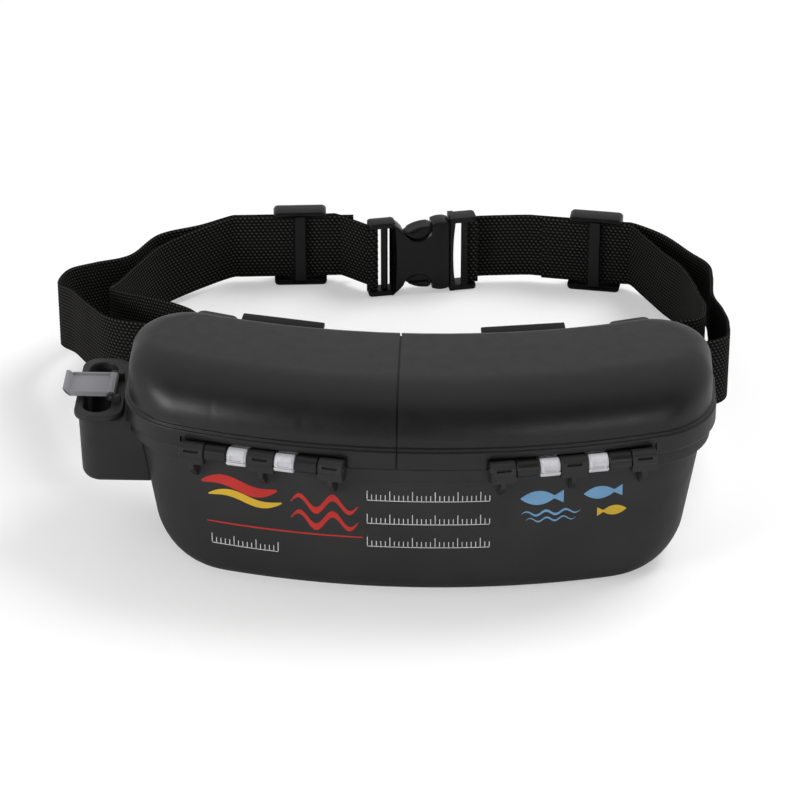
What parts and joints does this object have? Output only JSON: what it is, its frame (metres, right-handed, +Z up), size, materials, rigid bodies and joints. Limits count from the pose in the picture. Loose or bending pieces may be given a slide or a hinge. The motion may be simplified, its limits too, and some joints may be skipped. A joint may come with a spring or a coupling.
{
  "type": "belt-worn tackle box",
  "caption": "Curved waist box with front-hinged lids over small-parts trays, rear latches, a pliers holder and a webbing belt with a side-release buckle.",
  "frame": {"origin": "middle of the flat base that the box stands on", "axes": "+X to the wearer's left as the wearer looks down on the box, +Y from the curved front towards the wearer and the belt, +Z up"},
  "size_m": [0.3226, 0.3113, 0.099],
  "materials": {
    "black_plastic": "moulded polypropylene with a soft satin sheen",
    "webbing": "woven polypropylene webbing",
    "buckle_plastic": "moulded acetal, smooth",
    "grey_plastic": "moulded, fine matt grain",
    "clear_plastic": "translucent polypropylene, slightly frosted",
    "pin_steel": "drawn wire"
  },
  "bodies": {
    "box": {"tub": "black_plastic", "hinge_pin_left": "pin_steel", "hinge_pin_right": "pin_steel", "hook_rack_left": "black_plastic", "hook_rack_right": "black_plastic", "belt_post_left": "black_plastic", "belt_post_right": "black_plastic", "pliers_holder": "black_plastic", "pliers_lock_pin": "pin_steel", "strap_left": "webbing", "strap_right": "webbing", "buckle_socket": "buckle_plastic"},
    "lid_left": {"lid_left": "black_plastic", "latch_pin_left": "pin_steel"},
    "lid_right": {"lid_right": "black_plastic", "latch_pin_right": "pin_steel"},
    "inner_cover_left": {"inner_cover_left": "clear_plastic"},
    "inner_cover_right": {"inner_cover_right": "clear_plastic"},
    "latch_left": {"latch_left": "black_plastic"},
    "latch_right": {"latch_right": "black_plastic"},
    "pliers_lock": {"pliers_lock": "grey_plastic"},
    "buckle_plug": {"buckle_plug": "buckle_plastic"},
    "buckle_prong_top": {"buckle_prong_top": "buckle_plastic"},
    "buckle_prong_bottom": {"buckle_prong_bottom": "buckle_plastic"},
    "adjuster_left": {"adjuster_left": "buckle_plastic"},
    "adjuster_right": {"adjuster_right": "buckle_plastic"}
  },
  "joints": [
    {"name": "lid_left_hinge", "type": "hinge", "parent": "box", "child": "lid_left", "pos_m": [-0.0682, -0.04, 0.0685], "axis": [0.9792, -0.203, 0], "range_deg": [0, 135]},
    {"name": "lid_right_hinge", "type": "hinge", "parent": "box", "child": "lid_right", "pos_m": [0.0682, -0.04, 0.0685], "axis": [0.9792, 0.203, 0], "range_deg": [0, 135]},
    {"name": "inner_cover_left_hinge", "type": "hinge", "parent": "lid_left", "child": "inner_cover_left", "pos_m": [-0.0682, -0.04, 0.0685], "axis": [0.9792, -0.203, 0], "range_deg": [-54, 0]},
    {"name": "inner_cover_right_hinge", "type": "hinge", "parent": "lid_right", "child": "inner_cover_right", "pos_m": [0.0682, -0.04, 0.0685], "axis": [0.9792, 0.203, 0], "range_deg": [-54, 0]},
    {"name": "latch_left_pivot", "type": "hinge", "parent": "lid_left", "child": "latch_left", "pos_m": [-0.06429, 0.03865, 0.08], "axis": [0.9776, -0.2107, 0], "range_deg": [0, 18]},
    {"name": "latch_right_pivot", "type": "hinge", "parent": "lid_right", "child": "latch_right", "pos_m": [0.04657, 0.03537, 0.08], "axis": [0.9883, 0.1526, 0], "range_deg": [0, 18]},
    {"name": "pliers_lock_hinge", "type": "hinge", "parent": "box", "child": "pliers_lock", "pos_m": [-0.1396, 0.019, 0.0706], "axis": [0, 1, 0], "range_deg": [0, 80]},
    {"name": "buckle_release", "type": "slide", "parent": "box", "child": "buckle_plug", "axis": [0.9763, 0.2164, 0], "range_m": [0, 0.028], "deforming": ["strap_right", "buckle_prong_top", "buckle_prong_bottom"]},
    {"name": "prong_top_squeeze", "type": "hinge", "parent": "buckle_plug", "child": "buckle_prong_top", "pos_m": [0.00824, 0.24938, 0.035], "axis": [0.2164, -0.9763, 0], "range_deg": [0, 8], "stiffness_Nm_per_rad": 0.2},
    {"name": "prong_bottom_squeeze", "type": "hinge", "parent": "buckle_plug", "child": "buckle_prong_bottom", "pos_m": [0.00824, 0.24938, 0.007], "axis": [-0.2164, 0.9763, 0], "range_deg": [0, 8], "stiffness_Nm_per_rad": 0.2},
    {"name": "adjuster_left_slide", "type": "slide", "parent": "box", "child": "adjuster_left", "axis": [0.9976, 0.0698, 0], "range_m": [-0.01, 0.003]},
    {"name": "adjuster_right_slide", "type": "slide", "parent": "buckle_plug", "child": "adjuster_right", "axis": [0.9903, -0.1392, 0], "range_m": [-0.01, 0.003]}
  ],
  "couplings": [
    {"joint": "inner_cover_left_hinge", "follows": "lid_left_hinge", "ratio": -0.4},
    {"joint": "inner_cover_right_hinge", "follows": "lid_right_hinge", "ratio": -0.4}
  ]
}
